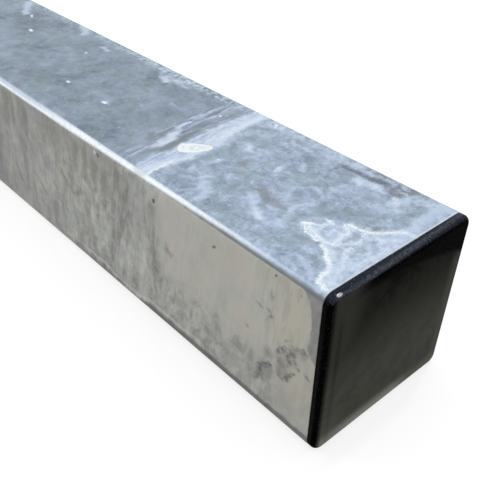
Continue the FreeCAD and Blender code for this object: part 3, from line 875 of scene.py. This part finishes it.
def front_bend(graph, colour, place, along, lean_y, lean_z, plate):
    """The bend above the front face: a grey painted reflection over the plate, and a light line along the
    post, a painted highlight.
    """
    # Painted reflection: the lower part of the bend a darker blue-grey
    dark_fold_reflection = graph.times((lean_z, 0.75, 0.5), (lean_z, 0.2, 0.45), (lean_y, -0.1, -0.4), (along, -150, -30))
    colour = graph.cover(colour, (105, 112, 123), dark_fold_reflection, graph.math("SUBTRACT", 1, plate), 0.85)
    # Painted highlight: a light line that sits higher on the bend towards the cut end
    start = graph.most(graph.math("ADD", graph.times(along, 0.0025), 0.69), 0.17)
    end = graph.math("ADD", start, 0.28)
    highlight_line = graph.times((lean_z, start, end), (lean_z, 0.91, 0.8), (lean_y, -0.2, -0.4))
    grit = graph.noise(place, 1.6, 4, 0.7)
    tone = graph.blend((along, -80, -10), (226, 234, 241), (196, 211, 232))
    tone = graph.blend((along, -130, -170), tone, (217, 223, 228))
    tone = graph.blend(graph.times((along, -185, -265), (lean_z, 0.46, 0.6)), tone, (176, 184, 200))
    return graph.cover(colour, tone, highlight_line, graph.between((grit, 0.34, 0.6), 0.75, 1))


def zinc_material():
    """Dull hot-dip zinc with pale oxide stains, white deposits, brown smears and dark scuffs, under painted
    reflections, highlights and shade.
    """
    graph = Graph(bpy.data.materials.new("weathered_zinc"))
    place = graph.place()
    along, across, height = graph.split(place)
    lean_y, lean_z = graph.lean()[1:]
    # The upper face and its stains are bluer, the sides warmer: painted reflections of sky above and of
    # ground beside
    upward = graph.times((lean_z, 0.45, 0.8), (height, 60, 80))
    upper, upper_tone = upper_zinc(graph, place, along, across)
    side, side_tone, smooth, plate = side_zinc(graph, place, along, height)
    tone = graph.between(upward, side_tone, upper_tone)
    colour, oxide = stained_zinc(graph, graph.blend(upward, side, upper), place, upward)
    colour = front_foot(graph, colour, tone, along, height, lean_y)
    colour = front_bend(graph, colour, place, along, lean_y, lean_z, plate)
    # A pale line along the cut end of the upper face: bare metal at the cut, with a painted highlight on its
    # edge
    colour = graph.cover(colour, (216, 218, 230), (along, -1.3, -0.7), upward, 0.5)
    looks = {
        "Base Color": colour,
        "Metallic": graph.between(oxide, *ZINC_METAL),
        "Roughness": graph.between(smooth, graph.between(tone, *ZINC_ROUGHNESS), PLATE_ROUGHNESS),
        "Normal": graph.add("Bump", {"Height": tone, **ZINC_BUMP}).outputs[0],
    }
    return graph.finish(graph.add("BsdfPrincipled", looks))


def painted_face_reflection(graph, smear, corner, across, height):
    """The tone of the cap's face, a painted reflection: dark at the top and lighter low down, with painted
    highlights at the far edge and the bottom, and a faint sunk line.
    """
    # Painted reflection: dark at the top of the face, lighter low down
    ground_reflection = graph.most(graph.step(height, 96, 28), graph.times(corner, 0.5))
    tone = graph.blend(ground_reflection, (14, 15, 11), (89, 90, 82))
    tone = graph.cover(tone, (58, 59, 52), (smear, 0.4, 0.62), 0.3)
    # Painted highlights along the far edge and the bottom, and lighter at the near lower corner
    tone = graph.cover(tone, (112, 113, 106), (across, 38, 45), (height, 86, 74), 0.4)
    tone = graph.cover(tone, (178, 179, 168), (height, 13, 3), graph.between((across, 26, 8), 0.25, 0.85))
    tone = graph.cover(tone, (112, 113, 106), (height, 26, 8), (across, -24, -44), 0.35)
    # Painted shade along a faint sunk line close to the near edge
    sink_shade = graph.times((graph.off(across, -42), 2.2, 0.3), (height, 92, 74))
    return graph.cover(tone, (26, 27, 23), sink_shade, graph.between((height, 20, 60), 0.14, 0.4))


def cap_face(graph, place, across, height):
    """The cap's face: a painted reflection, lighter below a dark wedge along the top, and darker towards the
    near edge.
    """
    smear = graph.noise(place, 9, 4, 0.6)
    past_corner = graph.math("ADD", graph.most(across, -25), 25)
    # Painted reflection: a dark wedge along the top, wider towards the far side
    dark_reflection_from = graph.math("SUBTRACT", 94, graph.times(past_corner, past_corner, 0.0028))
    above = graph.math("SUBTRACT", graph.math("ADD", height, graph.times(smear, 6)), dark_reflection_from)
    corner = graph.step(across, -18, -38)
    film = graph.most(graph.step(above, 5, 1), corner)
    colour = graph.blend(film, (4, 4, 4), painted_face_reflection(graph, smear, corner, across, height))
    return graph.cover(colour, (7, 7, 6), (across, -45.6, -48.2), 0.75)


def cap_rounds(graph, colour, place, lean_y, upper):
    """The cap's rounds: a faint line of light on the near lip, a bluish painted reflection of sky on the
    upper rounds, and along the top a line partly of settled dust and partly painted reflection.
    """
    along, across, height = graph.split(place)
    sheen = graph.times((along, 0.4, 1.3), (along, 3.2, 1.8), (lean_y, -0.8, -0.95))
    colour = graph.cover(colour, (28, 29, 26), sheen, graph.between((height, 92, 70), 0.4, 1))
    # Painted reflection of sky: the upper rounds bluish grey
    colour = graph.blend(upper, colour, (42, 46, 55))
    # Along the top round, a line partly of dust specks and partly painted reflection
    drift = graph.math("ADD", along, graph.times(across, 0.037))
    crest_dust_and_sheen = graph.off(drift, 3.4)
    settled = graph.noise(place, 1.5, 5, 0.75)
    return graph.cover(colour, (90, 95, 106), (crest_dust_and_sheen, 2.1, 0.2), upper, (settled, 0.3, 0.7))


def cap_painted_glint(graph):
    """How much the painted glint, a pale spot on the cap's corner, covers a point of the cap."""
    from_painted_glint = graph.place(PAINTED_GLINT_SIZE, [-place / size for place, size in zip(PAINTED_GLINT_PLACE, PAINTED_GLINT_SIZE)])
    gap = graph.add("VectorMath", {0: from_painted_glint}, operation="LENGTH").outputs["Value"]
    return graph.step(gap, 1.2, 0.7)


def plastic_material():
    """Black moulded plastic: a face of painted reflection, dark along its top, and blacker rounds with
    painted highlights and a little dust.
    """
    graph = Graph(bpy.data.materials.new("black_cap_plastic"))
    place = graph.place()
    across, height = graph.split(place)[1:]
    lean_x, lean_y, lean_z = graph.lean()
    upper = graph.step(lean_z, 0.34, 0.86)
    face = cap_face(graph, place, across, height)
    colour = graph.blend((lean_x, 0.75, 0.96), (5, 5, 5), face)
    colour = cap_rounds(graph, colour, place, lean_y, upper)
    painted_glint = cap_painted_glint(graph)
    # Painted glint: a pale spot on the cap's corner, also given a glossy coat
    colour = graph.blend(painted_glint, colour, (196, 197, 199))
    # Painted highlight: the bottom and far rounds of the cap lighter grey
    wear_and_edge_light = graph.most(graph.step(lean_z, -0.2, -0.7), graph.step(lean_y, 0.2, 0.7))
    colour = graph.cover(colour, (84, 84, 77), wear_and_edge_light, 0.7)
    dust = graph.noise(place, 0.9, 3, 0.7)
    colour = graph.cover(colour, (118, 122, 132), (dust, 0.58, 0.66), graph.between(upper, 0.12, 0.55))
    bump = graph.add("Bump", {"Height": graph.noise(place, 0.5, 2), **PLASTIC_BUMP})
    looks = {"Base Color": colour, "Coat Weight": painted_glint, "Normal": bump.outputs[0], **PLASTIC_SHINE}
    return graph.finish(graph.add("BsdfPrincipled", looks))


def dress(target, material):
    """Gives an object one material."""
    target.data.materials.clear()
    target.data.materials.append(material)


def make_camera():
    """The camera, at the photograph's viewing angle."""
    data = bpy.data.cameras.new("camera")
    data.sensor_width = SENSOR
    data.lens = SENSOR * FOCAL_PIXELS / PICTURE_WIDTH
    data.shift_x, data.shift_y = CAMERA_SHIFT
    data.clip_start, data.clip_end = CAMERA_CLIP
    camera = add_object("camera", data)
    azimuth = math.radians(CAMERA_AZIMUTH)
    elevation = math.radians(CAMERA_ELEVATION)
    level = math.cos(elevation)
    back = Vector((math.sin(azimuth) * level, -math.cos(azimuth) * level, math.sin(elevation)))
    roll = Matrix.Rotation(math.radians(CAMERA_ROLL), 4, "Z")
    turn = (-back).to_track_quat("-Z", "Y").to_matrix().to_4x4() @ roll
    place = Vector((END_X, 0.0, TUBE_LOW.z)) + Vector(CAMERA_PLACE) * MM
    camera.matrix_world = Matrix.Translation(place) @ turn
    bpy.context.scene.camera = camera


def make_floor():
    """A pale floor that shows white where nothing shades it."""
    mesh = bpy.data.meshes.new("floor")
    half = FLOOR_SIZE / 2
    corners = [(-half, -half, 0), (half, -half, 0), (half, half, 0), (-half, half, 0)]
    mesh.from_pydata(corners, [], [(0, 1, 2, 3)])
    floor = add_object("floor", mesh)
    graph = Graph(bpy.data.materials.new("floor_white"))
    matte = graph.add("BsdfDiffuse", {"Color": FLOOR_COLOUR})
    glow = graph.add("Emission", {"Strength": graph.times(graph.seen(), FLOOR_GLOW)})
    both = graph.add("AddShader", {0: matte.outputs[0], 1: glow.outputs[0]})
    dress(floor, graph.finish(both))


def make_world():
    """Even grey light from all round, with white for what the camera and reflections see."""
    graph = Graph(bpy.data.worlds.new("studio"))
    strength = graph.between(graph.seen(), WORLD_LIGHT, WORLD_SEEN)
    background = graph.add("Background", {"Color": WHITE, "Strength": strength})
    bpy.context.scene.world = graph.finish(background, "OutputWorld")


def make_softbox(name, place, target, size, power):
    """A rectangular lamp at a place, turned to a target."""
    data = bpy.data.lights.new(name, "AREA")
    data.shape = "RECTANGLE"
    data.size, data.size_y = size
    data.energy = power
    lamp = add_object(name, data)
    lamp.location = place
    lamp.rotation_euler = (Vector(target) - Vector(place)).to_track_quat("-Z", "Y").to_euler()


tube = make_tube()
dress(tube, zinc_material())
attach(tube, "root")
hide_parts("post_tube")
dress(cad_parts["end_cap"], plastic_material())

make_camera()
make_floor()
make_world()
for softbox in SOFTBOXES:
    make_softbox(*softbox)

bpy.context.scene.view_settings.view_transform = "Standard"
